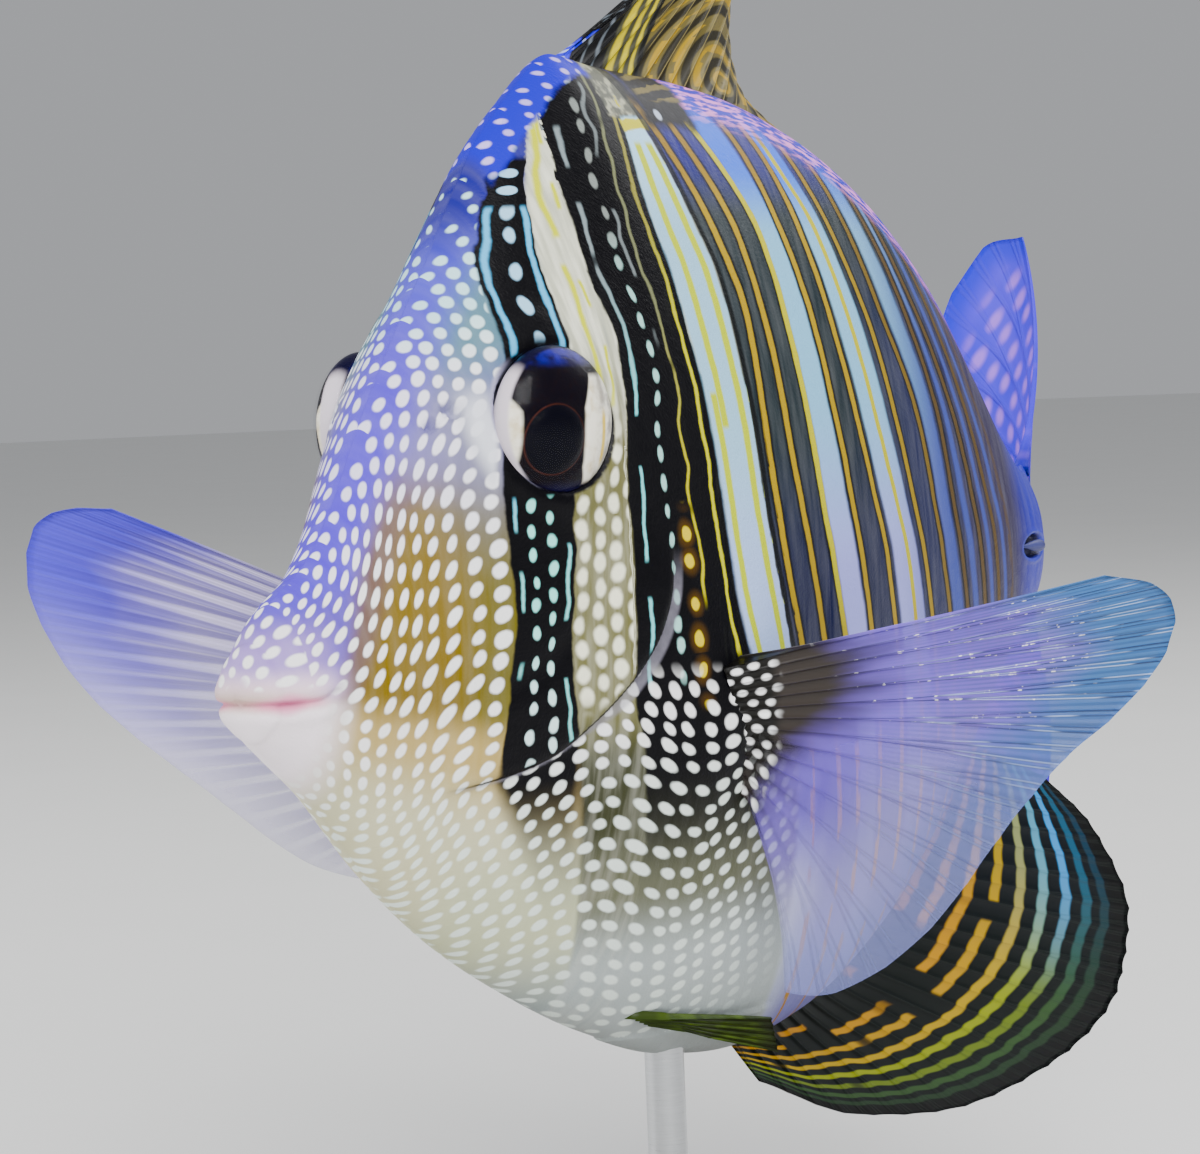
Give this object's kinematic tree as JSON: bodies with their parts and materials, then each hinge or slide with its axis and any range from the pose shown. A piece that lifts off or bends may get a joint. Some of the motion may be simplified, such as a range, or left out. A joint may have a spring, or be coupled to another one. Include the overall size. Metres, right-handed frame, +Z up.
{
  "type": "red sea sailfin tang, still model",
  "caption": "Life-size sailfin tang, a disc-shaped reef fish turning to its right, held on a rod over a flat display base.",
  "frame": {"origin": "middle of the stand base's underside", "axes": "+Z up, the fish's head towards -Y and its tail towards +Y, its left side towards +X"},
  "size_m": [0.0774, 0.1381, 0.13],
  "materials": {
    "spotted_skin": "satin",
    "striped_skin": "satin",
    "chin_skin": "satin",
    "eye": "gloss",
    "spine_bone": "satin",
    "clear_membrane": "satin",
    "striped_membrane": "satin",
    "violet_membrane": "satin",
    "olive_membrane": "satin",
    "stand_wood": "satin varnish",
    "stand_steel": "brushed"
  },
  "bodies": {
    "root": {"head": "spotted_skin", "lower_jaw": "chin_skin", "gill_cover_left": "spotted_skin", "gill_cover_right": "spotted_skin", "eye_left": "eye", "eye_right": "eye", "trunk": "striped_skin", "tail_base": "striped_skin", "tail_spine_left": "spine_bone", "tail_spine_right": "spine_bone", "dorsal_fin": "striped_membrane", "anal_fin": "striped_membrane", "caudal_fin": "violet_membrane", "pectoral_fin_left": "clear_membrane", "pectoral_fin_right": "clear_membrane", "pelvic_fin_left": "olive_membrane", "pelvic_fin_right": "olive_membrane", "stand_base": "stand_wood", "stand_rod": "stand_steel"}
  },
  "joints": []
}
